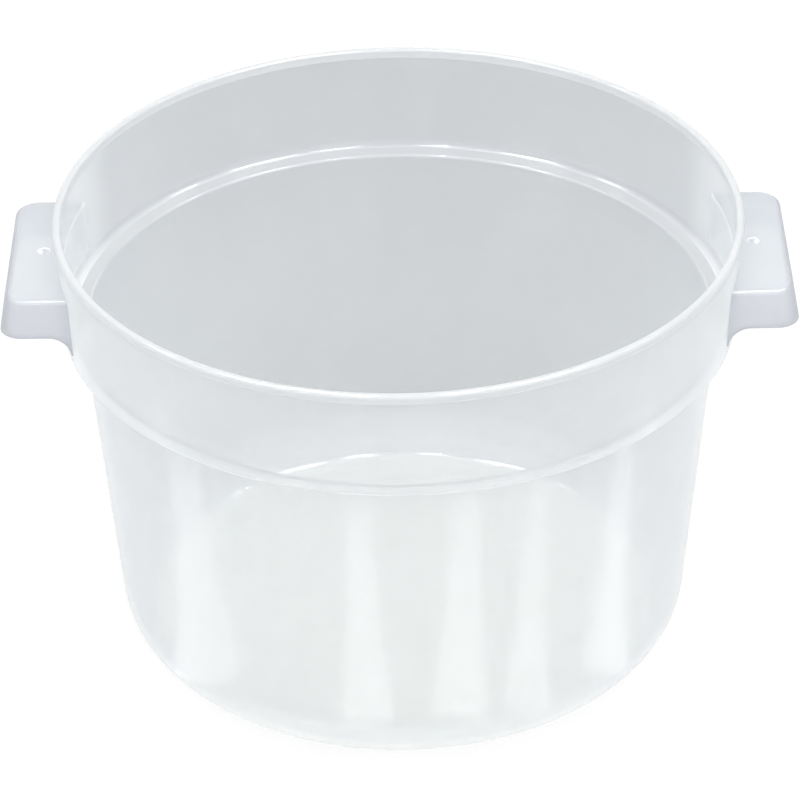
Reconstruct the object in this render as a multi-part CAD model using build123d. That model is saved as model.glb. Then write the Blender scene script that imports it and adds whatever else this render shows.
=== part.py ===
from build123d import *
import math
import os

# Round see-through container in which dough rises, of the 12 quart size, with a stepped
# collar for stacking and two hollow grip handles. All sizes are in millimetres.
# +Z is up. The origin is the middle of the foot, on the surface the container stands on.
# The handles point along +X and -X.

# Vessel
height = 213.0
wall = 2.5
foot_radius = 127.8  # where the wall line would meet the standing surface
heel_radius = 26.5
body_draft = 4.9  # degrees, so that containers nest and leave the mould
base_margin = 1.5  # straight wall that the base keeps above its rounded heel

# Floor
foot_land = 11.5  # width of the flat ring that the container stands on
recess_slope_width = 4.0  # inside that ring the floor rises to its lifted middle
recess_height = 1.6

# Stacking step and collar
collar_depth = 51.0  # from the rim down to the collar's foot
collar_draft = 1.6  # degrees
step_width = 8.14  # from the body's outer corner out to the collar's foot
step_slope = 18.0  # degrees, the step falls towards the body
step_outer_round = 2.0
collar_seat_drop = 3.0  # the collar starts this far below the inner end of the step

# Rim bead
bead_height = 4.2
bead_overhang = 1.1
bead_crown_round = 1.5
bead_edge_break = 0.6

# Handles
grip_drop = 18.8  # from the rim down to the flat top of a handle
grip_depth = 17.6  # from that top down to the hem
grip_projection = 21.0  # from the collar's face out to the edge of the flat top
grip_half_length = 43.9
grip_wall = 2.5
grip_reach_flare = 3.1  # how much further out the hem is than the top
grip_length_flare = 1.2
grip_corner = 10.0
grip_edge_round = 1.8
gusset_radius = 10.0

# Gate marks left by moulding
gate_projection = 6.3  # from the collar's face out to the mark on a handle
gate_dish_radius = 2.6
gate_dish_depth = 0.5
gate_stub_radius = 0.9
gate_stub_height = 0.4
base_gate_radius = 2.0
base_gate_height = 0.8

# How far a cutting shape runs past what it cuts
overrun = 5.0

upright_angle = 90.0  # degrees, from the standing surface to a wall without draft

body_slope = math.tan(math.radians(body_draft))
collar_slope = math.tan(math.radians(collar_draft))
base_height = heel_radius + base_margin
heel_turn = math.radians(upright_angle - body_draft)
heel_run = heel_radius * math.tan(heel_turn / 2)
recess_foot_radius = foot_radius - heel_run - foot_land
collar_foot_height = height - collar_depth
body_top_height = collar_foot_height - step_width * math.tan(math.radians(step_slope))
body_top_radius = foot_radius + body_top_height * body_slope
collar_foot_radius = body_top_radius + step_width
collar_seat = body_top_height - collar_seat_drop
bead_seat = height - bead_height
grip_top = height - grip_drop
grip_hem = grip_top - grip_depth


def collar_radius(level):
    """Outer radius of the collar wall at a height."""
    return collar_foot_radius + (level - collar_foot_height) * collar_slope


def inset(corners, distance):
    """Corners of the line that runs at a distance to the left of another one."""
    normals = []
    for start, end in zip(corners, corners[1:]):
        along = (end - start).normalized()
        normals.append(Vector(-along.Y, along.X))
    moved = [corners[0] + normals[0] * distance]
    for corner, before, after in zip(corners[1:], normals, normals[1:]):
        moved.append(corner + (before + after) * (distance / (1 + before.dot(after))))
    moved.append(corners[-1] + normals[-1] * distance)
    return moved


outer_corners = [
    Vector(0, recess_height),
    Vector(recess_foot_radius - recess_slope_width, recess_height),
    Vector(recess_foot_radius, 0),
    Vector(foot_radius, 0),
    Vector(body_top_radius, body_top_height),
    Vector(collar_foot_radius, collar_foot_height),
    Vector(collar_radius(bead_seat), bead_seat),
]
inner_corners = inset(outer_corners, wall)
inner_corners[0] = Vector(0, inner_corners[0].Y)
inner_corners[-1] = Vector(inner_corners[-1].X, bead_seat)

# One radius for each corner between the ends, with 0 where the corner stays sharp
outer_rounds = [0, 0, heel_radius, 0, step_outer_round]
inner_rounds = [0, 0, heel_radius - wall, 0, 0]


def rounded_line(corners, rounds):
    """Line through the corners, each inner one rounded with its own radius."""
    return FilletPolyline(*[(point.X, point.Y) for point in corners], radius=rounds)


def wall_section():
    """Half section of the vessel's wall, from the axis out and up to the bead's seat."""
    outer = rounded_line(outer_corners, outer_rounds)
    inner = rounded_line(inner_corners, inner_rounds)
    axis_end = Line(inner @ 0, outer @ 0)
    seat = Line(outer @ 1, inner @ 1)
    return make_face(Curve() + [outer, seat, inner, axis_end])


def turned(section):
    """Solid made by turning a half section about the container's axis."""
    return revolve(Plane.XZ * section, Axis.Z)


def band(low, high):
    """Strip of the half section between two heights."""
    width = collar_radius(height) + overrun
    return Pos(width / 2, (low + high) / 2) * Rectangle(width, high - low)


def base():
    """Floor with its lifted middle, the foot ring it stands on and the rounded heel."""
    solid = turned(wall_section() & band(-overrun, base_height))
    stub_top = recess_height + wall / 2
    stub_foot = recess_height - base_gate_height
    stub = Cylinder(
        base_gate_radius,
        stub_top - stub_foot,
        align=(Align.CENTER, Align.CENTER, Align.MIN),
    )
    return solid + Pos(0, 0, stub_foot) * stub


def body_wall():
    """Tapered wall between the heel and the step."""
    return turned(wall_section() & band(base_height, collar_seat))


def stacking_collar():
    """Sloped step on which the next container rests, and the wider wall above it."""
    return turned(wall_section() & band(collar_seat, bead_seat))


def rim_bead():
    """Thick edge with a rounded crown, proud of the collar outside, which takes the lid."""
    outer = collar_radius(bead_seat) + bead_overhang
    inner = inner_corners[-1].X
    section = Pos((inner + outer) / 2, (bead_seat + height) / 2) * Rectangle(
        outer - inner, bead_height
    )
    crown = section.vertices().group_by(Axis.Y)[-1].sort_by(Axis.X)[-1]
    section = fillet(crown, bead_crown_round)
    under_outside = section.vertices().group_by(Axis.Y)[0].sort_by(Axis.X)[-1]
    section = chamfer(under_outside, bead_edge_break)
    top_inside = section.vertices().group_by(Axis.Y)[-1].sort_by(Axis.X)[0]
    return turned(chamfer(top_inside, bead_edge_break))


def vessel_block():
    """The vessel's outside as a full solid, which the handles are cut to fit."""
    outer = rounded_line(outer_corners, outer_rounds)
    lid = Line(outer @ 1, (0, bead_seat))
    axis = Line((0, bead_seat), outer @ 0)
    return turned(make_face(Curve() + [outer, lid, axis]))


def flare_at(level, flare):
    """How far a flared side of a handle stands out past the edge of its top, at a height."""
    return flare * (grip_top - level) / grip_depth


def grip_block(low, inward):
    """Body of a handle down to a height, drawn in by a wall where it is the hollow's."""
    top = grip_top - inward
    root = collar_foot_radius - grip_half_length
    reach = collar_radius(grip_top) + grip_projection - inward
    half_length = grip_half_length - inward
    top_reach = reach + flare_at(top, grip_reach_flare)
    low_reach = reach + flare_at(low, grip_reach_flare)
    top_half = half_length + flare_at(top, grip_length_flare)
    low_half = half_length + flare_at(low, grip_length_flare)
    side = Polyline((root, top), (top_reach, top), (low_reach, low), (root, low), close=True)
    end = Polyline(
        (-top_half, top), (top_half, top), (low_half, low), (-low_half, low), close=True
    )
    across = extrude(Plane.XZ * make_face(side), amount=low_half + overrun, both=True)
    along = extrude(Plane.YZ * make_face(end), amount=low_reach + overrun)
    block = across & along
    uprights = block.faces().sort_by(Axis.X)[-1].edges().sort_by(Axis.Y)
    return fillet([uprights[0], uprights[-1]], grip_corner - inward)


def hem_cutter():
    """What lies below the hem: it leaves a curved gusset where an end web meets the collar."""
    web = grip_half_length + grip_length_flare
    collar_face = math.sqrt(collar_radius(grip_hem) ** 2 - web**2)
    start = collar_face + gusset_radius
    low = grip_hem - gusset_radius
    end = collar_radius(grip_top) + grip_projection + grip_reach_flare + overrun
    arc = RadiusArc((start, grip_hem), (collar_face, low), -gusset_radius)
    edge = Polyline(
        (collar_face, low),
        (0, low),
        (0, low - 2 * overrun),
        (end, low - 2 * overrun),
        (end, grip_hem),
        (start, grip_hem),
    )
    return extrude(Plane.XZ * make_face(Curve() + [arc, edge]), amount=web + overrun, both=True)


def handle_shell():
    """Hollow grip, open below: a flat top, a flared skirt, and end webs with gussets."""
    low = grip_hem - gusset_radius - overrun / 2
    shell = grip_block(low, 0)
    top_face = shell.faces().sort_by(Axis.Z)[-1]
    edges = top_face.edges().sort_by(Axis.X)[1:]
    shell = fillet(edges, grip_edge_round)
    shell = shell - grip_block(low - overrun / 2, grip_wall) - hem_cutter()
    gate_reach = collar_radius(grip_top) + gate_projection
    dish = Pos(gate_reach, 0, grip_top - gate_dish_depth / 2) * Cylinder(
        gate_dish_radius, gate_dish_depth
    )
    stub = Pos(gate_reach, 0, grip_top - gate_dish_depth + gate_stub_height / 2) * Cylinder(
        gate_stub_radius, gate_stub_height
    )
    return shell - dish + stub


def handle(turn):
    """One handle, cut to the collar and turned to its side of the container."""
    return Rot(0, 0, turn) * (handle_shell() - vessel_block())


parts = {
    "base": base(),
    "body_wall": body_wall(),
    "stacking_collar": stacking_collar(),
    "rim_bead": rim_bead(),
    "right_handle": handle(0),
    "left_handle": handle(180),
}

os.makedirs("parts", exist_ok=True)
for name, shape in parts.items():
    export_step(shape, f"parts/{name}.step")
    box = shape.bounding_box()
    print(name, len(shape.solids()), "solid", round(shape.volume), "mm3", box.min, box.max)
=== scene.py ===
import logging
import math
from collections.abc import Callable
from dataclasses import dataclass
from enum import Enum

import bmesh
import bpy
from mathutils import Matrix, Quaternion, Vector


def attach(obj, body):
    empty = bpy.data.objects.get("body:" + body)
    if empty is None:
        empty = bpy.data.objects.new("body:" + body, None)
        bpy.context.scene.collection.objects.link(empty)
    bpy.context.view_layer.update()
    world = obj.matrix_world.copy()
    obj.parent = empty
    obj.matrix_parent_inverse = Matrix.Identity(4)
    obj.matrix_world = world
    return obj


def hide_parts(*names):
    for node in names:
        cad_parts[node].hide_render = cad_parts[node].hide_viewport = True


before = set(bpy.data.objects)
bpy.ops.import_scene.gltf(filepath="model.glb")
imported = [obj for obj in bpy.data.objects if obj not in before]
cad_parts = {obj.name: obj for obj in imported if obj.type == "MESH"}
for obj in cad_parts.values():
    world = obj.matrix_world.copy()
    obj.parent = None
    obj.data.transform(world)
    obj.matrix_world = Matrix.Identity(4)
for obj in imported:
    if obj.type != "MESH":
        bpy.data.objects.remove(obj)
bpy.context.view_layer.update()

# Round milky food container with a stepped stacking collar and two hollow grip handles.
# Lengths are in metres and +Z is up. The container stands on the origin.

LOG = logging.getLogger("proofing_container")

Vert = bmesh.types.BMVert
Edge = bmesh.types.BMEdge
Face = bmesh.types.BMFace
Socket = bpy.types.NodeSocket
Tree = bpy.types.NodeTree
Pair = tuple[float, float]
Triple = tuple[float, float, float]

UPRIGHT = 90.0  # degrees, a wall without draft
NEAR = 2e-5  # places closer than this count as one
ROUND_PROFILE = 0.5  # a bevel that is part of a circle
OPAQUE = 1.0
WHITE = (1.0, 1.0, 1.0)


class Side(Enum):
    """Side of the container on which a handle sits."""

    RIGHT = "right"
    LEFT = "left"


class Element(Enum):
    """What a selection in edit mode works on."""

    VERT = "VERT"
    EDGE = "EDGE"
    FACE = "FACE"


class Joining(Enum):
    """What a Boolean does with the other mesh."""

    CUT = "DIFFERENCE"
    ADD = "UNION"


class LampPart(Enum):
    """What a lamp does in the scene."""

    BOTH = "both"
    LIGHT = "light"
    REFLECTION = "reflection"


@dataclass(frozen=True)
class Rounding:
    """Rounded corner or edge.

    Args:
        radius: Its radius, 0 where it stays sharp.
        steps: Faces across it.
    """

    radius: float = 0.0
    steps: int = 1


@dataclass(frozen=True)
class Ring:
    """One circle of the turned wall.

    Args:
        radius: Distance from the axis.
        level: Height above the standing surface.
        rounding: How the corner there is rounded.
    """

    radius: float
    level: float
    rounding: Rounding = Rounding()

    def way_to(self, other: "Ring") -> Vector:
        """Step from this circle to another one, outwards and upwards."""
        return Vector((other.radius - self.radius, other.level - self.level))


def start_clean() -> None:
    """Leave edit mode and deselect everything, the CAD nodes too."""
    if bpy.context.object is not None and bpy.context.object.mode != "OBJECT":
        bpy.ops.object.mode_set(mode="OBJECT")
    bpy.ops.object.select_all(action="DESELECT")


def take(piece: bpy.types.Object) -> None:
    """Select one piece alone and make it the active one.

    Args:
        piece: The mesh to work on.
    """
    start_clean()
    piece.select_set(True)
    bpy.context.view_layer.objects.active = piece


def begin_shaping(piece: bpy.types.Object, element: Element) -> None:
    """Open one piece in edit mode with nothing on it selected.

    Args:
        piece: The mesh to shape.
        element: What the selection works on.
    """
    take(piece)
    bpy.ops.object.mode_set(mode="EDIT")
    bpy.ops.mesh.select_mode(type=element.value)
    bpy.ops.mesh.select_all(action="DESELECT")


def pick(
    piece: bpy.types.Object, element: Element, wanted: Callable[[Vert | Edge | Face], bool]
) -> None:
    """Select the elements of the open piece that pass a test on their place.

    Args:
        piece: The mesh that is open in edit mode.
        element: What the selection works on.
        wanted: Test that takes one element and says whether it is selected.
    """
    bpy.ops.mesh.select_mode(type=element.value)
    bpy.ops.mesh.select_all(action="DESELECT")
    shape = bmesh.from_edit_mesh(piece.data)
    groups = {Element.VERT: shape.verts, Element.EDGE: shape.edges, Element.FACE: shape.faces}
    found = [one for one in groups[element] if wanted(one)]
    for one in found:
        one.select_set(True)
    shape.select_flush_mode()
    bmesh.update_edit_mesh(piece.data)


def end_shaping() -> None:
    """Go back from edit mode to object mode."""
    bpy.ops.object.mode_set(mode="OBJECT")


def bevel(reach: float, steps: int, clamp: bool = False) -> None:
    """Round the selected edges of the open piece.

    Args:
        reach: How far the rounding goes from an edge along its faces.
        steps: Faces across it.
        clamp: Whether roundings stop where they would overlap.
    """
    bpy.ops.mesh.bevel(
        offset_type="OFFSET",
        offset=reach,
        segments=steps,
        profile=ROUND_PROFILE,
        affect="EDGES",
        clamp_overlap=clamp,
    )


def weld(reach: float) -> None:
    """Merge the doubles of the open piece and turn its faces outwards.

    Args:
        reach: Vertices closer than this become one.
    """
    bpy.ops.mesh.select_all(action="SELECT")
    bpy.ops.mesh.remove_doubles(threshold=reach)
    bpy.ops.mesh.normals_make_consistent(inside=False)


def settle(piece: bpy.types.Object) -> None:
    """Put a piece's place into its mesh, so that its object sits at the origin."""
    take(piece)
    bpy.ops.object.transform_apply(location=True, rotation=True, scale=True)


def named(name: str) -> bpy.types.Object:
    """Name the primitive that was just added, and settle it.

    Args:
        name: Name of the object and of its mesh.

    Returns:
        The primitive.
    """
    piece = bpy.context.object
    piece.name = piece.data.name = name
    settle(piece)
    return piece


def join(piece: bpy.types.Object, tool: bpy.types.Object, joining: Joining) -> None:
    """Apply a Boolean with another mesh, which is removed afterwards.

    Args:
        piece: The mesh that is changed.
        tool: The mesh that cuts it or is added to it.
        joining: Which of the two.
    """
    take(piece)
    modifier = piece.modifiers.new("join", "BOOLEAN")
    modifier.operation = joining.value
    modifier.solver = "EXACT"
    modifier.object = tool
    bpy.ops.object.modifier_apply(modifier=modifier.name)
    spent = tool.data
    bpy.data.objects.remove(tool)
    bpy.data.meshes.remove(spent)


def smooth(piece: bpy.types.Object, angle: float) -> None:
    """Shade a piece smooth up to an angle and keep its flat faces flat.

    Args:
        piece: The finished mesh.
        angle: Degrees, above which an edge stays sharp.
    """
    take(piece)
    bpy.ops.object.shade_smooth_by_angle(angle=math.radians(angle))
    modifier = piece.modifiers.new("even_shading", "WEIGHTED_NORMAL")
    modifier.mode = "FACE_AREA"
    modifier.keep_sharp = True
    bpy.ops.object.modifier_apply(modifier=modifier.name)


def anywhere(element: Edge | Face) -> bool:
    """Say yes wherever an element lies."""
    return True


def coat(
    piece: bpy.types.Object,
    zones: tuple[tuple[bpy.types.Material, Callable[[Face], bool]], ...],
) -> None:
    """Give each zone of a piece its material, a later zone over an earlier one.

    Args:
        piece: The finished mesh.
        zones: Each material with the test that picks its faces.
    """
    begin_shaping(piece, Element.FACE)
    for number, (material, zone) in enumerate(zones):
        piece.data.materials.append(material)
        pick(piece, Element.FACE, zone)
        piece.active_material_index = number
        bpy.ops.object.material_slot_assign()
    end_shaping()


def empty_tree(owner: bpy.types.Material | bpy.types.World) -> Tree:
    """Switch on the nodes of a material or of the world, and clear them.

    Args:
        owner: The material or the world.

    Returns:
        Its empty node tree.
    """
    owner.use_nodes = True
    owner.node_tree.nodes.clear()
    return owner.node_tree


def add_node(
    tree: Tree,
    kind: str,
    inputs: dict[str | int, Socket | float | tuple[float, ...]],
    **choices: str | bool,
) -> bpy.types.Node:
    """Add one shader node.

    Args:
        tree: The node tree.
        kind: Type of the node.
        inputs: Value of each input that is set, or the output that feeds it.
        choices: The node's own settings.

    Returns:
        The new node.
    """
    node = tree.nodes.new(kind)
    for name, choice in choices.items():
        setattr(node, name, choice)
    for name, value in inputs.items():
        if isinstance(value, Socket):
            tree.links.new(value, node.inputs[name])
        else:
            node.inputs[name].default_value = value
    return node


def mixed(tree: Tree, share: Socket | float, first: Socket, second: Socket) -> Socket:
    """Mix two shaders.

    Args:
        tree: The node tree.
        share: Share of the second shader.
        first: Output of the first shader.
        second: Output of the second shader.

    Returns:
        The output with the mix.
    """
    mix = add_node(tree, "ShaderNodeMixShader", {"Fac": share, 1: first, 2: second})
    return mix.outputs["Shader"]


def ranged(tree: Tree, value: Socket, low: float, high: float) -> Socket:
    """Spread a 0 to 1 value over a range.

    Args:
        tree: The node tree.
        value: Output that gives the value.
        low: Result at 0.
        high: Result at 1.

    Returns:
        The output with the spread value.
    """
    inputs = {"To Min": low, "To Max": high, "Value": value}
    return add_node(tree, "ShaderNodeMapRange", inputs).outputs["Result"]


@dataclass(frozen=True)
class MilkyPlastic:
    """See-through milky polypropylene, moulded with a fine satin gloss.

    Args:
        name: Name of the material.
        tint: Colour of the light that the wall sends back or lets through softly.
        clear_tint: Colour of the light that passes straight through.
        clear: Share of the light that passes straight through one surface.
        grazing: Share left of that where the surface is seen edge on.
        glow: Share of the soft light that comes from behind.
        edge_shade: How much darker, or below 0 paler, the tint is where it is seen edge on.
        edge_blend: How soon a surface counts as seen edge on.
        side_tint: Paler tint towards the handles, painted light where they back the wall, or None.
        side_reach: Distances from the middle, along X, at which that tint begins and is full.
        ior: How strongly the plastic bends light.
        shine: Strength of the gloss below the finer one.
        roughness: Roughness of the gloss.
        coat_ior: How strongly the finer gloss over it bends light.
        coat_roughness: Roughness of the finer gloss.
        cloud_size: Size of the faint clouds in the plastic.
        cloud_detail: Layers of finer clouds in them.
        clouding: How much they change the clear share.
        flow_lines: How often the upright flow lines change in a metre along X, Y and Z.
        flow_detail: Layers of finer lines in them.
        streak: How much they change the roughness.
    """

    name: str
    tint: Triple
    clear_tint: Triple = (0.925, 0.935, 0.94)
    clear: float = 0.50
    grazing: float = 0.45
    glow: float = 0.35
    edge_shade: float = 0.0
    edge_blend: float = 0.25
    side_tint: Triple | None = None
    side_reach: Pair = (0.130, 0.146)
    ior: float = 1.49
    shine: float = 0.1
    roughness: float = 0.30
    coat_ior: float = 1.8
    coat_roughness: float = 0.11
    cloud_size: float = 0.05
    cloud_detail: float = 3.0
    clouding: float = 0.05
    flow_lines: Triple = (60.0, 60.0, 4.0)
    flow_detail: float = 2.0
    streak: float = 0.05

    def material(self) -> bpy.types.Material:
        """Build the material.

        Returns:
            The new material.
        """
        made = bpy.data.materials.new(self.name)
        tree = empty_tree(made)
        place = add_node(tree, "ShaderNodeTexCoord", {}).outputs["Object"]
        weight = add_node(tree, "ShaderNodeLayerWeight", {"Blend": self.edge_blend})
        edge_on = weight.outputs["Facing"]
        gloss = self._gloss(tree, place)
        soft = add_node(tree, "ShaderNodeBsdfTranslucent", {})
        for socket in (gloss.inputs["Base Color"], soft.inputs["Color"]):
            socket.default_value = (*self.tint, OPAQUE)
            if self.edge_shade or self.side_tint:
                tree.links.new(self._shaded(tree, place, edge_on), socket)
        body = mixed(tree, self.glow, gloss.outputs["BSDF"], soft.outputs["BSDF"])
        clear_colour = (*self.clear_tint, OPAQUE)
        straight = add_node(tree, "ShaderNodeBsdfTransparent", {"Color": clear_colour})
        clear = self._clear_share(tree, place, edge_on)
        whole = mixed(tree, clear, body, straight.outputs["BSDF"])
        add_node(tree, "ShaderNodeOutputMaterial", {"Surface": whole})
        return made

    def _gloss(self, tree: Tree, place: Socket) -> bpy.types.Node:
        """Add the glossy skin, whose roughness varies a little along upright flow lines.

        Args:
            tree: The node tree.
            place: Output that gives the place on the container.

        Returns:
            Its node, still without a colour.
        """
        stretch = add_node(tree, "ShaderNodeMapping", {"Scale": self.flow_lines, "Vector": place})
        lines = {"Scale": 1.0, "Detail": self.flow_detail, "Vector": stretch.outputs["Vector"]}
        flow = add_node(tree, "ShaderNodeTexNoise", lines).outputs["Fac"]
        low, high = self.roughness - self.streak, self.roughness + self.streak
        inputs = {
            "IOR": self.ior,
            "Specular IOR Level": self.shine,
            "Coat Weight": 1.0,
            "Coat IOR": self.coat_ior,
            "Coat Roughness": self.coat_roughness,
            "Roughness": ranged(tree, flow, low, high),
        }
        return add_node(tree, "ShaderNodeBsdfPrincipled", inputs)

    def _clear_share(self, tree: Tree, place: Socket, edge_on: Socket) -> Socket:
        """Work out how much light passes straight through, with faint clouds in it.

        Args:
            tree: The node tree.
            place: Output that gives the place on the container.
            edge_on: Output that gives how far edge on the surface is seen.

        Returns:
            The output with the share.
        """
        clouds = {"Scale": 1 / self.cloud_size, "Detail": self.cloud_detail, "Vector": place}
        noise = add_node(tree, "ShaderNodeTexNoise", clouds).outputs["Fac"]
        clear = ranged(tree, edge_on, self.clear, self.clear * self.grazing)
        change = ranged(tree, noise, -self.clouding, self.clouding)
        inputs = {0: clear, 1: change}
        share = add_node(tree, "ShaderNodeMath", inputs, operation="ADD", use_clamp=True)
        return share.outputs["Value"]

    def _shaded(self, tree: Tree, place: Socket, edge_on: Socket) -> Socket:
        """Change the tint where the surface is seen edge on, and add painted light towards the
        handles.

        Args:
            tree: The node tree.
            place: Output that gives the place on the container.
            edge_on: Output that gives how far edge on the surface is seen.

        Returns:
            The output with the colour.
        """
        edge = [part * (1 - self.edge_shade) for part in self.tint]
        inputs = {"A": (*self.tint, OPAQUE), "B": (*edge, OPAQUE), "Factor": edge_on}
        shade = add_node(tree, "ShaderNodeMix", inputs, data_type="RGBA").outputs["Result"]
        if not self.side_tint:
            return shade
        parts = add_node(tree, "ShaderNodeSeparateXYZ", {"Vector": place})
        away = add_node(tree, "ShaderNodeMath", {0: parts.outputs["X"]}, operation="ABSOLUTE")
        begin, full = self.side_reach
        inputs = {"From Min": begin, "From Max": full, "Value": away.outputs["Value"]}
        share = add_node(tree, "ShaderNodeMapRange", inputs, interpolation_type="SMOOTHSTEP")
        inputs = {"A": shade, "B": (*self.side_tint, OPAQUE), "Factor": share.outputs["Result"]}
        return add_node(tree, "ShaderNodeMix", inputs, data_type="RGBA").outputs["Result"]


@dataclass
class Vessel:
    """The moulded vessel: floor, rounded heel, tapered wall, step, collar and rim bead."""

    height: float = 0.213
    wall: float = 0.0025
    around: int = 192  # faces round the axis
    weld_reach: float = NEAR / 10
    smooth_angle: float = 30.0

    # Foot, floor and body
    foot_radius: float = 0.1278  # where the wall line would meet the standing surface
    heel_radius: float = 0.0265
    heel_steps: int = 16
    inner_heel_steps: int = 14
    body_draft: float = 4.9
    foot_land: float = 0.0115  # width of the flat ring that the container stands on
    recess_slope_width: float = 0.004
    recess_height: float = 0.0016
    recess_rounding: Rounding = Rounding(0.0025, 4)
    gate_radius: float = 0.002
    gate_height: float = 0.0008
    gate_rounding: Rounding = Rounding(0.0003, 2)

    # Stacking step and collar
    collar_depth: float = 0.051
    collar_draft: float = 1.6
    step_width: float = 0.00814
    step_slope: float = 18.0
    step_foot_rounding: Rounding = Rounding(0.0016, 5)
    step_edge_rounding: Rounding = Rounding(0.0020, 6)
    ledge_edge_rounding: Rounding = Rounding(0.0014, 4)
    ledge_back_rounding: Rounding = Rounding(0.0042, 7)

    # Rim bead
    bead_height: float = 0.0042
    bead_overhang: float = 0.0011
    bead_foot_rounding: Rounding = Rounding(0.0009, 4)
    bead_crown_rounding: Rounding = Rounding(0.0015, 6)
    bead_inner_rounding: Rounding = Rounding(0.0010, 5)

    # Zones of the finishes, most of them painted light and painted shade
    grip_top: float = 0.1942  # height of a handle's flat top
    root_low: float = 0.1690  # where a handle stops showing through the collar
    root_half: float = 0.0445
    pale_floor_radius: float = 0.1155
    ledge_facing: float = 0.94  # the ledge looks up more than this
    rim_facing: float = 0.6  # and the bead's top more than this
    edge_tilt: float = 0.04  # the step's rounded edge is tilted more than this

    outer_finish: MilkyPlastic = MilkyPlastic(
        "milky_outside", tint=(0.96, 0.975, 0.985), clear=0.58, edge_shade=0.10, coat_roughness=0.17
    )
    # Inside of the collar: a darker copy of the same plastic, painted shade, made paler where seen
    # edge on and towards the handles, painted light.
    inner_painted_shade_and_light: MilkyPlastic = MilkyPlastic(
        "milky_inside_painted_shade_and_light",
        tint=(0.405, 0.42, 0.44),
        clear=0.53,
        edge_shade=-1.2,
        side_tint=(0.84, 0.86, 0.885),
    )
    # Inside below the step: the same darker copy of the plastic, painted shade, paler where seen
    # edge on.
    body_inside_painted_shade: MilkyPlastic = MilkyPlastic(
        "milky_body_inside_painted_shade", tint=(0.405, 0.42, 0.44), clear=0.53, edge_shade=-1.2
    )
    # Top of the inner step: a darker tint that offsets the light from above, painted shade, paler
    # towards the handles, painted light.
    ledge_painted_shade_and_light: MilkyPlastic = MilkyPlastic(
        "milky_ledge_painted_shade_and_light",
        tint=(0.39, 0.405, 0.42),
        clear=0.53,
        side_tint=(0.50, 0.515, 0.53),
        side_reach=(0.10, 0.14),
    )
    # Floor, both faces: paler and warmer than the walls, painted light that stands in for the light
    # from the table below.
    floor_painted_light: MilkyPlastic = MilkyPlastic(
        "milky_floor_painted_light", tint=(0.93, 0.94, 0.90), clear_tint=(0.965, 0.975, 0.935), clear=0.45
    )
    # Inside of the heel: a mid tint, painted shade between the darker walls and the paler floor.
    heel_painted_shade: MilkyPlastic = MilkyPlastic("milky_heel_painted_shade", tint=(0.70, 0.71, 0.75), clear=0.50)
    # Bead and the step's rounded edge: less see-through where the bead is thick, and on the step's
    # edge painted light for a bright line.
    thick_bead_and_lit_edge: MilkyPlastic = MilkyPlastic("milky_thick_bead_and_lit_edge", tint=(0.75, 0.765, 0.78), clear=0.28)
    # Top of the bead: darker than its sides, painted shade that offsets the light from above.
    rim_top_painted_shade: MilkyPlastic = MilkyPlastic("milky_rim_top_painted_shade", tint=(0.66, 0.67, 0.68), clear=0.28)
    # Inside of the collar where a handle is joined behind it: paler, painted light where the handle
    # shows through the wall.
    root_painted_light: MilkyPlastic = MilkyPlastic(
        "milky_root", tint=(0.83, 0.85, 0.87), clear=0.30, edge_shade=-0.12
    )
    # Band where a handle's top meets the wall behind it: nearly white, a painted light line.
    root_line_painted_light: MilkyPlastic = MilkyPlastic("milky_root_line_painted_light", tint=(0.95, 0.96, 0.97), clear=0.20)

    def __post_init__(self) -> None:
        """Work out the lines of the wall from the sizes."""
        self.body_slope = math.tan(math.radians(self.body_draft))
        self.collar_slope = math.tan(math.radians(self.collar_draft))
        heel_turn = math.radians(UPRIGHT - self.body_draft)
        self.flat_radius = self.foot_radius - self.heel_radius * math.tan(heel_turn / 2)
        self.collar_foot = self.height - self.collar_depth
        step_drop = self.step_width * math.tan(math.radians(self.step_slope))
        self.body_top = self.collar_foot - step_drop
        self.body_top_radius = self.foot_radius + self.body_top * self.body_slope
        self.collar_foot_radius = self.body_top_radius + self.step_width
        self.bead_seat = self.height - self.bead_height

    def collar_radius(self, level: float) -> float:
        """Outer radius of the collar at a height."""
        return self.collar_foot_radius + (level - self.collar_foot) * self.collar_slope

    def outside(self) -> list[Ring]:
        """Corners of the outside, from the middle of the underside up to the bead.

        Returns:
            The rings in order.
        """
        recess_foot = self.flat_radius - self.foot_land
        return [
            Ring(recess_foot - self.recess_slope_width, self.recess_height, self.recess_rounding),
            Ring(recess_foot, 0.0, self.recess_rounding),
            Ring(self.foot_radius, 0.0, Rounding(self.heel_radius, self.heel_steps)),
            Ring(self.body_top_radius, self.body_top, self.step_foot_rounding),
            Ring(self.collar_foot_radius, self.collar_foot, self.step_edge_rounding),
            Ring(self.collar_radius(self.bead_seat), self.bead_seat),
        ]

    def inside(self) -> list[Ring]:
        """Corners of the inside, from the collar's foot down to the middle of the floor.

        Returns:
            The rings in order.
        """
        line = [Ring(0.0, self.recess_height), *self.outside()]
        roundings = (
            self.recess_rounding,
            self.recess_rounding,
            Rounding(self.heel_radius - self.wall, self.inner_heel_steps),
            self.ledge_edge_rounding,
            self.ledge_back_rounding,
        )
        rings = []
        for before, corner, after, rounding in zip(line, line[1:], line[2:], roundings):
            first = before.way_to(corner).normalized()
            second = corner.way_to(after).normalized()
            left = Vector((-first.y, first.x)) + Vector((-second.y, second.x))
            shift = left * (self.wall / (1 + first.dot(second)))
            rings.append(Ring(corner.radius + shift.x, corner.level + shift.y, rounding))
        return rings[::-1]

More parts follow.
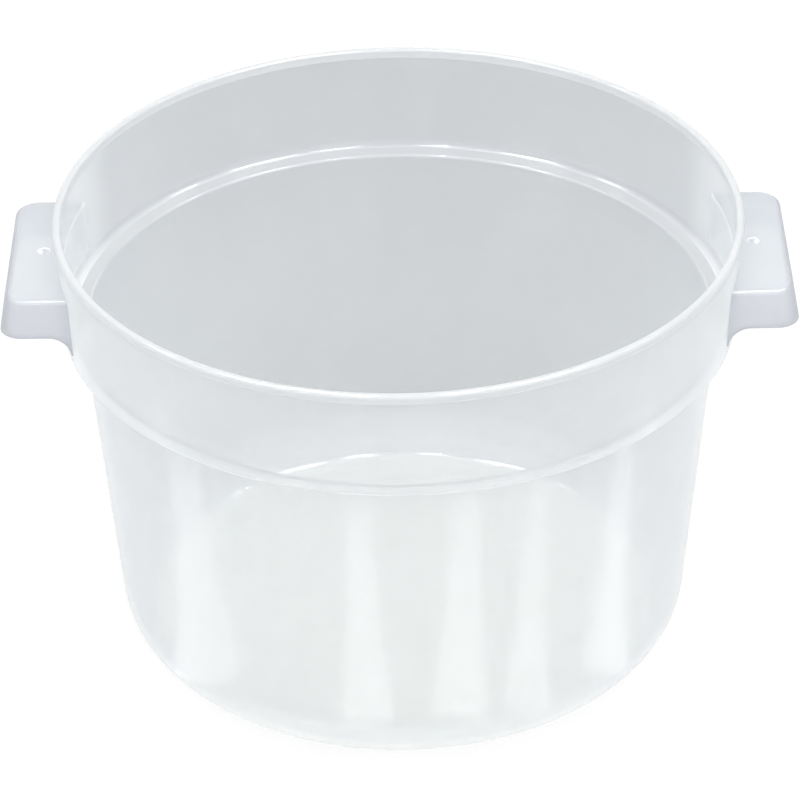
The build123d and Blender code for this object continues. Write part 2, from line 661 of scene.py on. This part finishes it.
    def rings(self) -> list[Ring]:
        """The whole section in order: underside, outside, bead, inside and floor.

        Returns:
            Rings from the gate mark outwards and back to the floor's middle.
        """
        outer = self.collar_radius(self.bead_seat)
        proud = outer + self.bead_overhang
        inner = outer - self.wall / math.cos(math.radians(self.collar_draft))
        bead = [
            Ring(proud, self.bead_seat, self.bead_foot_rounding),
            Ring(proud, self.height, self.bead_crown_rounding),
            Ring(inner, self.height, self.bead_inner_rounding),
            Ring(inner, self.bead_seat),
        ]
        gate = [
            Ring(self.gate_radius, self.recess_height - self.gate_height, self.gate_rounding),
            Ring(self.gate_radius, self.recess_height),
        ]
        inside = self.inside()
        foot = inside[0]
        for level in (self.grip_top, self.grip_top - self.wall, self.root_low):
            share = (level - foot.level) / (self.bead_seat - foot.level)
            bead.append(Ring(foot.radius + (inner - foot.radius) * share, level))
        return gate + self.outside() + bead + inside

    def build(self) -> bpy.types.Object:
        """Turn the wall, ring by ring, from the gate mark out, up, over the rim and back down.

        Returns:
            The vessel's mesh.
        """
        rings = self.rings()
        start_clean()
        bpy.ops.mesh.primitive_circle_add(
            vertices=self.around,
            radius=rings[0].radius,
            fill_type="NGON",
            location=(0, 0, rings[0].level),
        )
        piece = named("vessel_shell")
        begin_shaping(piece, Element.FACE)
        bpy.ops.mesh.select_all(action="SELECT")
        bpy.ops.mesh.flip_normals()
        pick(piece, Element.EDGE, anywhere)
        for before, ring in zip(rings, rings[1:]):
            bpy.ops.mesh.extrude_edges_move(
                TRANSFORM_OT_translate={"value": (0, 0, ring.level - before.level)}
            )
            share = ring.radius / before.radius
            bpy.ops.transform.resize(value=(share, share, 1.0), center_override=(0, 0, 0))
        bpy.ops.mesh.edge_face_add()
        line = [Ring(0.0, rings[0].level), *rings, Ring(0.0, rings[-1].level)]
        for before, ring, after in zip(line, line[1:], line[2:]):
            if ring.rounding.radius:
                self.round_corner(piece, before, ring, after)
        pick(piece, Element.FACE, lambda face: len(face.verts) > self.around / 2)
        bpy.ops.mesh.inset(thickness=rings[0].radius / 2)
        weld(self.weld_reach)
        end_shaping()
        smooth(piece, self.smooth_angle)
        return piece

    def round_corner(self, piece: bpy.types.Object, before: Ring, ring: Ring, after: Ring) -> None:
        """Bevel one circle of the wall into a rounded corner.

        Args:
            piece: The vessel's mesh, open in edit mode.
            before: The ring before the corner.
            ring: The corner.
            after: The ring after it.
        """

        def on_corner(edge: Edge) -> bool:
            """Say whether both ends of an edge lie on the corner's circle."""
            return all(
                abs(end.co.z - ring.level) < NEAR and abs(end.co.xy.length - ring.radius) < NEAR
                for end in edge.verts
            )

        turn = before.way_to(ring).angle(ring.way_to(after))
        pick(piece, Element.EDGE, on_corner)
        bevel(ring.rounding.radius * math.tan(turn / 2), ring.rounding.steps)

    def on_inner_wall(self, face: Face) -> bool:
        """Say whether a face looks towards the middle of the container."""
        middle = Vector((0, 0, self.collar_foot))
        return face.normal.dot(middle - face.calc_center_median()) > 0

    def on_body_inside(self, face: Face) -> bool:
        """Say whether a face belongs to the inside below the step."""
        return face.calc_center_median().z < self.body_top and self.on_inner_wall(face)

    def on_floor(self, face: Face) -> bool:
        """Say whether a face belongs to the floor, as far out as it looks pale."""
        centre = face.calc_center_median()
        return centre.z < self.heel_radius and centre.xy.length < self.pale_floor_radius

    def on_heel(self, face: Face) -> bool:
        """Say whether a face belongs to the inside of the rounded heel."""
        low = face.calc_center_median().z < self.heel_radius
        return low and self.on_inner_wall(face) and not self.on_floor(face)

    def on_ledge(self, face: Face) -> bool:
        """Say whether a face belongs to the sloped inside of the step.

        Args:
            face: A face of the vessel.

        Returns:
            Whether it does.
        """
        low, high = self.body_top - self.wall, self.collar_foot + self.wall
        level = low < face.calc_center_median().z < high
        return level and face.normal.z > self.ledge_facing and self.on_inner_wall(face)

    def on_root(self, face: Face) -> bool:
        """Say whether a face lies where a handle is joined to the other side of the wall.

        Args:
            face: A face of the vessel.

        Returns:
            Whether it does.
        """
        centre = face.calc_center_median()
        level = self.root_low < centre.z < self.grip_top
        return level and abs(centre.y) < self.root_half and self.on_inner_wall(face)

    def on_root_line(self, face: Face) -> bool:
        """Say whether a face lies where a handle's top meets the other side of the wall."""
        return self.on_root(face) and face.calc_center_median().z > self.grip_top - self.wall

    def on_bead_or_step_edge(self, face: Face) -> bool:
        """Say whether a face is on the bead or the step's rounded edge.

        Args:
            face: A face of the vessel.

        Returns:
            Whether it is.
        """
        centre = face.calc_center_median()
        if centre.z > self.bead_seat - NEAR:
            return True
        at_edge = centre.xy.length > self.collar_foot_radius - self.wall
        low = abs(centre.z - self.collar_foot) < self.wall
        tilted = abs(face.normal.z) > self.edge_tilt
        return low and at_edge and tilted and not self.on_inner_wall(face)

    def on_rim_top(self, face: Face) -> bool:
        """Say whether a face belongs to the top of the bead."""
        return face.calc_center_median().z > self.bead_seat and face.normal.z > self.rim_facing

    def dress(self, piece: bpy.types.Object) -> None:
        """Give the vessel its finishes, with their painted light and shade, and tie it to the
        solids that it stands for.

        Args:
            piece: The vessel's mesh.
        """
        zones = (
            (self.outer_finish, anywhere),
            (self.inner_painted_shade_and_light, self.on_inner_wall),
            (self.body_inside_painted_shade, self.on_body_inside),
            (self.floor_painted_light, self.on_floor),
            (self.heel_painted_shade, self.on_heel),
            (self.ledge_painted_shade_and_light, self.on_ledge),
            (self.root_painted_light, self.on_root),
            (self.root_line_painted_light, self.on_root_line),
            (self.thick_bead_and_lit_edge, self.on_bead_or_step_edge),
            (self.rim_top_painted_shade, self.on_rim_top),
        )
        coat(piece, tuple((finish.material(), zone) for finish, zone in zones))
        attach(piece, "root")
        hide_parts("base", "body_wall", "stacking_collar", "rim_bead")


@dataclass
class Grip:
    """Hollow grip handle: flat top, flared skirt and end webs with curved gussets."""

    vessel: Vessel
    wall: float = 0.0025
    clearance: float = 0.005  # how far a cutting shape runs past what it cuts
    weld_reach: float = NEAR / 4
    smooth_angle: float = 32.0

    drop: float = 0.0188  # from the rim down to the flat top
    depth: float = 0.0176  # from that top down to the hem
    projection: float = 0.021  # from the collar out to the edge of the top
    half_length: float = 0.0439
    reach_flare: float = 0.0031  # how much further out the hem is than the top
    length_flare: float = 0.0012
    root_sink: float = 0.0005  # how far the root goes into the collar
    corner: Rounding = Rounding(0.010, 10)
    top_rounding: Rounding = Rounding(0.0018, 5)
    hem_rounding: Rounding = Rounding(0.0006, 3)
    gusset: Rounding = Rounding(0.010, 12)

    # Gate mark on the top
    gate_projection: float = 0.0063
    gate_dish_radius: float = 0.0026
    gate_dish_depth: float = 0.0005
    gate_stub_radius: float = 0.0009
    gate_stub_height: float = 0.0004
    gate_around: int = 32
    gate_steps: int = 4
    dish_round_share: float = 0.7  # the dish's rounding is this much of its depth

    # Tests on the faces
    top_facing: float = 0.95  # the flat top looks up more than this
    back_facing: float = 0.99  # the cutter's back looks inwards more than this
    side_facing: float = 0.5  # a side looks up or down less than this
    hollow_follow: float = 0.6  # how far the hollow's middle follows a face along Y

    outer_finish: MilkyPlastic = MilkyPlastic(
        "milky_handle", tint=(0.56, 0.575, 0.62), clear=0.46, glow=0.55, edge_shade=0.20
    )
    # Flat top of the handle: paler than its sides, painted light on the face that looks up.
    top_painted_light: MilkyPlastic = MilkyPlastic(
        "milky_handle_top_painted_light", tint=(0.615, 0.635, 0.665), clear=0.46, glow=0.55
    )
    # Faces that look into the hollow or lie at the root: nearly white, painted light that lifts the
    # shade in the hollow.
    hollow_painted_light: MilkyPlastic = MilkyPlastic(
        "milky_hollow_painted_light", tint=(0.93, 0.94, 0.96), clear=0.60, glow=0.60
    )
    # Dish of the gate mark: white, partly the whitening of the plastic at the gate, partly a
    # painted highlight.
    gate_whitening_and_highlight: MilkyPlastic = MilkyPlastic("milky_gate_whitening_and_highlight", tint=WHITE, clear=0.05, glow=0.20)

    def __post_init__(self) -> None:
        """Work out where the handle meets the collar."""
        self.top = self.vessel.height - self.drop
        self.hem = self.top - self.depth
        self.face = self.vessel.collar_radius(self.top)

    def materials(self) -> tuple[bpy.types.Material, ...]:
        """Build the materials of the sides, the top, the hollow and the gate mark, with painted
        light on the top and in the hollow.
        """
        finishes = (self.outer_finish, self.top_painted_light, self.hollow_painted_light, self.gate_whitening_and_highlight)
        return tuple(finish.material() for finish in finishes)

    def block(self, name: str, low: float, inward: float) -> bpy.types.Object:
        """Flared block with two rounded upright corners, for the handle or its hollow.

        Args:
            name: Name of the mesh.
            low: Height of its underside.
            inward: How far its sides are drawn in, 0 for the outside.

        Returns:
            The block.
        """
        top = self.top - inward
        root = self.face - self.half_length
        reach = self.face + self.projection - inward
        half = self.half_length - inward

        def on_upright(edge: Edge) -> bool:
            """Say whether an edge is one of the two upright ones away from the root."""
            away = all(end.co.x > self.face for end in edge.verts)
            return away and abs(edge.verts[0].co.z - edge.verts[1].co.z) > NEAR

        def on_top_edge(edge: Edge) -> bool:
            """Say whether an edge borders the top, other than at the root."""
            flat = all(abs(end.co.z - top) < NEAR for end in edge.verts)
            return flat and any(end.co.x > root + NEAR for end in edge.verts)

        start_clean()
        bpy.ops.mesh.primitive_cube_add(
            size=1.0,
            location=((root + reach) / 2, 0, (top + low) / 2),
            scale=(reach - root, 2 * half, top - low),
        )
        piece = named(name)
        begin_shaping(piece, Element.VERT)
        for level in (top, low):
            share = (self.top - level) / self.depth
            pick(piece, Element.VERT, lambda vert: abs(vert.co.z - level) < NEAR)
            widen = 1 + self.length_flare * share / half
            bpy.ops.transform.resize(value=(1.0, widen, 1.0), center_override=(0, 0, 0))
            pick(
                piece,
                Element.VERT,
                lambda vert: abs(vert.co.z - level) < NEAR and vert.co.x > self.face,
            )
            bpy.ops.transform.translate(value=(self.reach_flare * share, 0, 0))
        pick(piece, Element.EDGE, on_upright)
        bevel(self.corner.radius - inward, self.corner.steps)
        pick(piece, Element.EDGE, on_top_edge)
        rounding = self.top_rounding.radius if not inward else self.top_rounding.radius / 2
        bevel(rounding, self.top_rounding.steps)
        end_shaping()
        return piece

    def hem_cutter(self) -> bpy.types.Object:
        """What lies below the hem, with the curve that leaves a gusset under each end web.

        Returns:
            The cutting mesh.
        """
        web = self.half_length + self.length_flare
        hem_face = math.sqrt(self.vessel.collar_radius(self.hem) ** 2 - web**2)
        low = self.hem - 2 * self.gusset.radius
        end = self.face + self.projection + self.reach_flare + self.clearance
        width = 2 * (web + self.clearance)

        def at_gusset(edge: Edge) -> bool:
            """Say whether an edge lies where the hem meets the collar."""
            return all(
                abs(vert.co.x - hem_face) < NEAR and abs(vert.co.z - self.hem) < NEAR
                for vert in edge.verts
            )

        start_clean()
        bpy.ops.mesh.primitive_cube_add(
            size=1.0,
            location=((hem_face + end) / 2, 0, (low + self.hem) / 2),
            scale=(end - hem_face, width, self.hem - low),
        )
        piece = named("hem_cutter")
        begin_shaping(piece, Element.EDGE)
        pick(piece, Element.EDGE, at_gusset)
        bevel(self.gusset.radius, self.gusset.steps)
        pick(piece, Element.FACE, lambda face: face.normal.x < -self.back_facing)
        bpy.ops.mesh.extrude_region_move(
            TRANSFORM_OT_translate={"value": (-self.half_length, 0, 0)}
        )
        end_shaping()
        return piece

    def collar_cutter(self) -> bpy.types.Object:
        """The collar's outside as a cone, drawn in a little so that the root sinks into it.

        Returns:
            The cutting mesh.
        """
        low = self.hem - 2 * self.gusset.radius
        high = self.top + self.clearance
        start_clean()
        bpy.ops.mesh.primitive_cone_add(
            vertices=self.vessel.around,
            radius1=self.vessel.collar_radius(low) - self.root_sink,
            radius2=self.vessel.collar_radius(high) - self.root_sink,
            depth=high - low,
            location=(0, 0, (low + high) / 2),
        )
        return named("collar_cutter")

    def peg(self, name: str, radius: float, low: float, high: float) -> bpy.types.Object:
        """Short upright cylinder at the gate mark.

        Args:
            name: Name of the mesh.
            radius: Its radius.
            low: Height of its underside.
            high: Height of its top.

        Returns:
            The cylinder.
        """
        start_clean()
        bpy.ops.mesh.primitive_cylinder_add(
            vertices=self.gate_around,
            radius=radius,
            depth=high - low,
            location=(self.face + self.gate_projection, 0, (low + high) / 2),
        )
        return named(name)

    def build(self, side: Side) -> bpy.types.Object:
        """Model the handle on +X, and turn it round the axis for the other side.

        Args:
            side: The side of the container.

        Returns:
            The handle's mesh.
        """
        low = self.hem - self.gusset.radius - self.clearance / 2
        above = self.top + self.clearance
        dish_floor = self.top - self.gate_dish_depth
        stub_foot = dish_floor - self.gate_dish_depth
        stub_top = dish_floor + self.gate_stub_height
        piece = self.block(f"{side.value}_grip", low, 0.0)
        join(piece, self.block("hollow", low - self.clearance / 2, self.wall), Joining.CUT)
        join(piece, self.hem_cutter(), Joining.CUT)
        self.round_hem(piece)
        join(piece, self.collar_cutter(), Joining.CUT)
        dish = self.peg("gate_dish", self.gate_dish_radius, dish_floor, above)
        join(piece, dish, Joining.CUT)
        stub = self.peg("gate_stub", self.gate_stub_radius, stub_foot, stub_top)
        join(piece, stub, Joining.ADD)
        self.round_gate(piece)
        begin_shaping(piece, Element.VERT)
        weld(self.weld_reach)
        end_shaping()
        if side is Side.LEFT:
            piece.rotation_euler.z = math.pi
            settle(piece)
        smooth(piece, self.smooth_angle)
        return piece

    def round_gate(self, piece: bpy.types.Object) -> None:
        """Round the rim of the dish and the top of the stub at the gate mark.

        Args:
            piece: The handle's mesh, with its gate mark cut.
        """
        gate = Vector((self.face + self.gate_projection, 0))
        stub_top = self.top - self.gate_dish_depth + self.gate_stub_height
        circles = (
            (self.gate_dish_radius, self.top, self.gate_dish_depth * self.dish_round_share),
            (self.gate_stub_radius, stub_top, self.gate_stub_height / 2),
        )
        begin_shaping(piece, Element.EDGE)
        for radius, level, rounding in circles:
            pick(
                piece,
                Element.EDGE,
                lambda edge: all(
                    abs(end.co.z - level) < NEAR and abs((end.co.xy - gate).length - radius) < NEAR
                    for end in edge.verts
                ),
            )
            bevel(rounding, self.gate_steps, clamp=True)
        end_shaping()

    def round_hem(self, piece: bpy.types.Object) -> None:
        """Round the inner and outer edges of the hem.

        Args:
            piece: The handle's mesh before it is cut to the collar.
        """

        def at_hem(edge: Edge) -> bool:
            """Say whether an edge borders the flat hem and a side of the handle."""
            low = all(abs(end.co.z - self.hem) < NEAR for end in edge.verts)
            return low and any(abs(face.normal.z) < self.side_facing for face in edge.link_faces)

        begin_shaping(piece, Element.EDGE)
        pick(piece, Element.EDGE, at_hem)
        bevel(self.hem_rounding.radius, self.hem_rounding.steps, clamp=True)
        end_shaping()

    def dress(
        self, piece: bpy.types.Object, side: Side, materials: tuple[bpy.types.Material, ...]
    ) -> None:
        """Give a handle its finishes, with their painted light, and tie it to the solid that it
        stands for.

        Args:
            piece: The handle's mesh.
            side: The side of the container.
            materials: The materials of its sides, its top, its hollow and its gate mark.
        """
        way = 1 if side is Side.RIGHT else -1
        hollow = Vector((way * (self.face + self.projection / 2), 0, (self.top + self.hem) / 2))
        gate = Vector((way * (self.face + self.gate_projection), 0))
        gate_reach = self.gate_dish_radius + 2 * self.gate_dish_depth

        def on_top(face: Face) -> bool:
            """Say whether a face belongs to the flat top."""
            return face.normal.z > self.top_facing

        def in_hollow(face: Face) -> bool:
            """Say whether a face looks into the hollow or lies at the root.

            Args:
                face: A face of the handle.

            Returns:
                Whether it does.
            """
            centre = face.calc_center_median()
            if centre.xy.length < self.vessel.collar_radius(centre.z):
                return True
            away = Vector((hollow.x, centre.y * self.hollow_follow, hollow.z)) - centre
            return face.normal.dot(away) > 0 and abs(centre.y) < self.half_length

        def on_gate(face: Face) -> bool:
            """Say whether a face belongs to the dish of the gate mark.

            Args:
                face: A face of the handle.

            Returns:
                Whether it does.
            """
            centre = face.calc_center_median()
            near = self.gate_stub_radius < (centre.xy - gate).length < gate_reach
            small = face.calc_area() < self.gate_dish_radius**2 * math.pi
            return near and small and centre.z > self.top - 2 * self.gate_dish_depth

        coat(piece, tuple(zip(materials, (anywhere, on_top, in_hollow, on_gate))))
        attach(piece, "root")
        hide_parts(f"{side.value}_handle")


def limit(lamp: bpy.types.Object, part: LampPart) -> None:
    """Let a lamp only light the scene, or only show as a reflection.

    Args:
        lamp: The lamp.
        part: What it does.
    """
    if part is LampPart.LIGHT:
        lamp.visible_glossy = False
    if part is LampPart.REFLECTION:
        lamp.visible_camera = False
        lamp.visible_diffuse = False
        lamp.visible_transmission = False
        lamp.visible_volume_scatter = False


def add_lamp(name: str, place: Vector, width: float, height: float) -> bpy.types.Object:
    """Add a flat rectangular lamp.

    Args:
        name: Its name.
        place: Where its middle is.
        width: Width of its face.
        height: Height of its face.

    Returns:
        The lamp, still unturned.
    """
    start_clean()
    bpy.ops.object.light_add(type="AREA", location=place)
    lamp = bpy.context.object
    lamp.name = name
    lamp.data.shape = "RECTANGLE"
    lamp.data.size = width
    lamp.data.size_y = height
    return lamp


@dataclass(frozen=True)
class Softbox:
    """One soft lamp that faces the container.

    Args:
        name: Name of the lamp.
        turn: Degrees round the container, 0 in front and positive to the right.
        lift: Degrees above the floor.
        reach: Distance from the container.
        width: Width of its face.
        height: Height of its face.
        power: Watts.
        part: Whether it lights the scene, shows as a reflection, or both.
    """

    name: str
    turn: float
    lift: float
    reach: float
    width: float
    height: float
    power: float
    part: LampPart = LampPart.BOTH

    def hang(self, aim: Vector) -> None:
        """Hang the lamp.

        Args:
            aim: The point that it faces.
        """
        turn, lift = math.radians(self.turn), math.radians(self.lift)
        away = Vector(
            (math.cos(lift) * math.sin(turn), -math.cos(lift) * math.cos(turn), math.sin(lift))
        )
        lamp = add_lamp(self.name, aim + away * self.reach, self.width, self.height)
        lamp.data.energy = self.power
        lamp.rotation_mode = "QUATERNION"
        lamp.rotation_quaternion = (-away).to_track_quat("-Z", "Y")
        limit(lamp, self.part)


@dataclass(frozen=True)
class TableStrip:
    """Light strip lying on the table in front, which only shows as a reflection.

    Args:
        name: Name of the lamp.
        near: Its end by the container, x and y.
        far: Its other end.
        width: Its width.
        radiance: Brightness of its face.
    """

    name: str
    near: Pair
    far: Pair
    width: float
    radiance: float

    def lay(self, level: float) -> None:
        """Lay the strip, facing up.

        Args:
            level: Its height above the table.
        """
        near, far = Vector(self.near), Vector(self.far)
        middle, along = (near + far) / 2, far - near
        lamp = add_lamp(self.name, Vector((*middle, level)), along.length, self.width)
        lamp.data.energy = self.radiance * math.pi * along.length * self.width
        lamp.rotation_euler = (math.pi, 0, math.atan2(along.y, along.x))
        limit(lamp, LampPart.REFLECTION)


@dataclass
class Studio:
    """Pale floor, plain soft light and the camera."""

    softboxes: tuple[Softbox, ...] = (
        Softbox("top_softbox", 0, 84, 2.0, 1.30, 1.30, 26.5, LampPart.LIGHT),
        Softbox("front_right_tube", 70.6, 80.0, 1.93, 0.16, 0.16, 9.0, LampPart.REFLECTION),
        Softbox("front_left_tube", -60.0, 82.2, 1.93, 0.16, 0.16, 9.0, LampPart.REFLECTION),
        Softbox("back_right_tube", 152.7, 67.9, 1.97, 0.26, 0.16, 13.0, LampPart.REFLECTION),
        Softbox("back_left_tube", -154.9, 69.1, 1.97, 0.26, 0.16, 13.0, LampPart.REFLECTION),
        Softbox("right_tube", 97.7, 68.4, 2.03, 0.14, 0.36, 20.0, LampPart.REFLECTION),
        Softbox("left_tube", -97.7, 68.4, 2.03, 0.14, 0.36, 20.0, LampPart.REFLECTION),
        Softbox("far_right_tube", 114.0, 53.4, 2.35, 0.14, 0.24, 10.0, LampPart.REFLECTION),
        Softbox("far_left_tube", -114.0, 53.4, 2.35, 0.14, 0.24, 10.0, LampPart.REFLECTION),
        Softbox("left_softbox", -41, 42, 2.0, 1.50, 1.20, 10.1),
        Softbox("right_softbox", 48, 42, 2.0, 1.50, 1.20, 10.1),
        Softbox("front_softbox", 5, 42, 2.0, 1.20, 1.20, 8.0),
        Softbox("left_side_softbox", -100, 59, 2.0, 1.20, 1.20, 15.5, LampPart.LIGHT),
        Softbox("right_side_softbox", 105, 59, 2.0, 1.20, 1.20, 15.5, LampPart.LIGHT),
    )
    strips: tuple[TableStrip, ...] = (
        TableStrip("far_left_strip", (-0.110, -0.096), (-0.350, -0.094), 0.056, 1.35),
        TableStrip("left_strip", (-0.022, -0.150), (-0.064, -0.282), 0.034, 2.2),
        TableStrip("middle_strip", (0.033, -0.150), (0.093, -0.276), 0.038, 2.2),
        TableStrip("right_strip", (0.070, -0.130), (0.187, -0.218), 0.030, 1.8),
        TableStrip("far_right_strip", (0.115, -0.092), (0.350, -0.085), 0.036, 1.8),
    )
    strip_level: float = 0.003
    eye: Triple = (0.0, -1.52015, 1.10050)
    aim: Triple = (-0.000353, 0.002911, 0.110940)
    roll: float = -0.01484793  # radians
    lens: float = 179.955  # millimetres, as is the sensor
    sensor: float = 36.0
    near_clip: float = 0.05
    far_clip: float = 50.0
    floor_side: float = 12.0
    floor_drop: float = 0.0001
    floor_colour: Triple = (0.90, 0.90, 0.90)
    floor_light: float = 0.88  # share of plain white in the floor, to look at
    world_strength: float = 0.20

    def place_camera(self) -> None:
        """Stand the camera at the photograph's viewing angle."""
        start_clean()
        bpy.ops.object.camera_add(location=self.eye)
        camera = bpy.context.object
        camera.name = "front_camera"
        camera.data.lens = self.lens
        camera.data.sensor_width = self.sensor
        camera.data.clip_start = self.near_clip
        camera.data.clip_end = self.far_clip
        look = (Vector(self.aim) - Vector(self.eye)).to_track_quat("-Z", "Y")
        camera.rotation_mode = "QUATERNION"
        camera.rotation_quaternion = look @ Quaternion((0, 0, 1), self.roll)
        bpy.context.scene.camera = camera

    def lay_floor(self) -> None:
        """Lay the pale floor, which looks white and keeps the container's shadow."""
        start_clean()
        bpy.ops.mesh.primitive_plane_add(size=self.floor_side, location=(0, 0, -self.floor_drop))
        floor = bpy.context.object
        floor.name = "studio_floor"
        made = bpy.data.materials.new("studio_white")
        tree = empty_tree(made)
        matt = add_node(tree, "ShaderNodeBsdfDiffuse", {"Color": (*self.floor_colour, OPAQUE)})
        white = add_node(tree, "ShaderNodeEmission", {"Strength": 1.0})
        seen = self._seen(tree, self.floor_light)
        both = mixed(tree, seen, matt.outputs["BSDF"], white.outputs["Emission"])
        add_node(tree, "ShaderNodeOutputMaterial", {"Surface": both})
        floor.data.materials.append(made)

    @staticmethod
    def _seen(tree: Tree, share: float) -> Socket:
        """Share that counts only for camera, glossy and transmission rays.

        Args:
            tree: The node tree.
            share: The share for those rays.

        Returns:
            The output with the share, 0 for other rays.
        """
        path = add_node(tree, "ShaderNodeLightPath", {})
        total = path.outputs["Is Camera Ray"]
        for name in ("Is Glossy Ray", "Is Transmission Ray"):
            inputs = {0: total, 1: path.outputs[name]}
            total = add_node(tree, "ShaderNodeMath", inputs, operation="MAXIMUM").outputs["Value"]
        scaled = add_node(tree, "ShaderNodeMath", {0: total, 1: share}, operation="MULTIPLY")
        return scaled.outputs["Value"]

    def set_world(self) -> None:
        """Set the pale world, dim as a light and plain white to look at."""
        world = bpy.context.scene.world or bpy.data.worlds.new("studio")
        bpy.context.scene.world = world
        tree = empty_tree(world)
        glows = []
        for strength in (self.world_strength, 1.0):
            inputs = {"Strength": strength, "Color": (*WHITE, OPAQUE)}
            glows.append(add_node(tree, "ShaderNodeBackground", inputs).outputs["Background"])
        both = mixed(tree, self._seen(tree, 1.0), *glows)
        add_node(tree, "ShaderNodeOutputWorld", {"Surface": both})

    def light(self) -> None:
        """Hang the soft lamps round the container and lay the strips on the table."""
        for softbox in self.softboxes:
            softbox.hang(Vector((0, 0, self.aim[2])))
        for strip in self.strips:
            strip.lay(self.strip_level)

    def build(self) -> None:
        """Set up the camera, the floor, the light and the plain colour handling."""
        bpy.context.scene.view_settings.view_transform = "Standard"
        self.place_camera()
        self.lay_floor()
        self.set_world()
        self.light()


def main() -> None:
    """Build the studio, and then the container piece by piece."""
    logging.basicConfig(level=logging.INFO, format="%(name)s: %(message)s")
    Studio().build()
    vessel = Vessel()
    shell = vessel.build()
    vessel.dress(shell)
    LOG.info("%s: %d faces", shell.name, len(shell.data.polygons))
    grip = Grip(vessel)
    materials = grip.materials()
    for side in Side:
        piece = grip.build(side)
        grip.dress(piece, side, materials)
        LOG.info("%s: %d faces", piece.name, len(piece.data.polygons))


if __name__ == "__main__":
    main()
